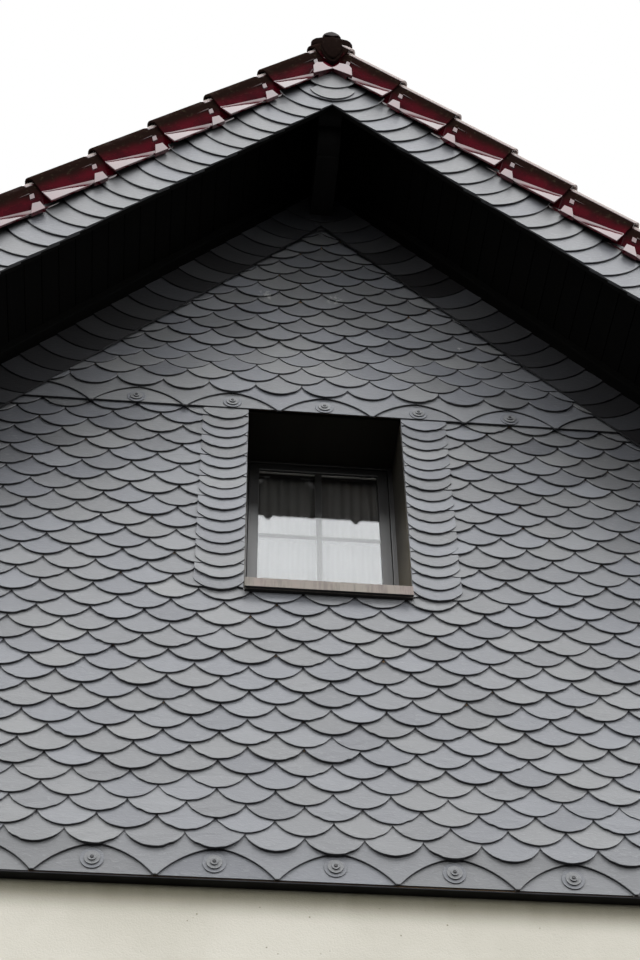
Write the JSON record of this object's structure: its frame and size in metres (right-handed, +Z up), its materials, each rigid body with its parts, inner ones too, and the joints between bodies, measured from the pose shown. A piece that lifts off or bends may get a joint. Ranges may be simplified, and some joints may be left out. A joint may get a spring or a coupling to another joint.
{
  "type": "slate-hung dormer window",
  "caption": "Gabled dormer front hung with scale slates, with a window in a deep reveal under a wide, tiled roof overhang with slate-faced bargeboards and a carved purlin.",
  "frame": {"origin": "ground plane, at the middle of the whole part's width and depth", "axes": "+Z up, +X to the right seen from the front, -Y out of the front with the window"},
  "size_m": [3.718, 2.866, 4.9373],
  "materials": {
    "render": "cream stippled render on masonry",
    "slate": "natural split slate, matt grey",
    "drip_metal": "black",
    "sill_stone": "weathered pinkish brown stone",
    "lining_wood": "dark olive brown paint, worn",
    "window_paint": "dark grey-brown paint",
    "glass": "clear pane",
    "net": "plain net in hanging folds",
    "rod": "thin grey rod",
    "painted_wood": "near-black paint",
    "raw_wood": "raw aged timber",
    "ridge_tile": "weathered dark brown clay",
    "roof_tile": "glossy wine-red glazed clay, weathered on top"
  },
  "bodies": {
    "root": {"front_wall_below": "render", "front_wall_left": "render", "front_wall_right": "render", "front_wall_gable": "render", "cheek_wall_left": "render", "cheek_wall_right": "render", "front_boarding": "raw_wood", "cheek_boarding_left": "raw_wood", "cheek_boarding_right": "raw_wood", "front_slates": "slate", "cheek_slates_left": "slate", "cheek_slates_right": "slate", "bow_slates": "slate", "drip_edge": "drip_metal", "window_sill": "sill_stone", "head_lining": "lining_wood", "jamb_lining_left": "lining_wood", "jamb_lining_right": "lining_wood", "window_frame": "window_paint", "window_sash": "window_paint", "window_glass": "glass", "net_curtain": "net", "curtain_rod": "rod", "ridge_purlin": "painted_wood", "wall_plate_left": "painted_wood", "wall_plate_right": "painted_wood", "rafters_left": "raw_wood", "rafters_right": "raw_wood", "collar_ties": "raw_wood", "roof_boarding_left": "raw_wood", "roof_boarding_right": "raw_wood", "roof_battens": "raw_wood", "soffit_left": "painted_wood", "soffit_right": "painted_wood", "bargeboard_left": "painted_wood", "bargeboard_right": "painted_wood", "barge_slates": "slate", "fascia_left": "painted_wood", "fascia_right": "painted_wood", "roof_tiles_left": "roof_tile", "roof_tiles_right": "roof_tile", "verge_tiles_left": "roof_tile", "verge_tiles_right": "roof_tile", "ridge_tiles": "ridge_tile", "ridge_end_cap": "ridge_tile"}
  },
  "joints": []
}
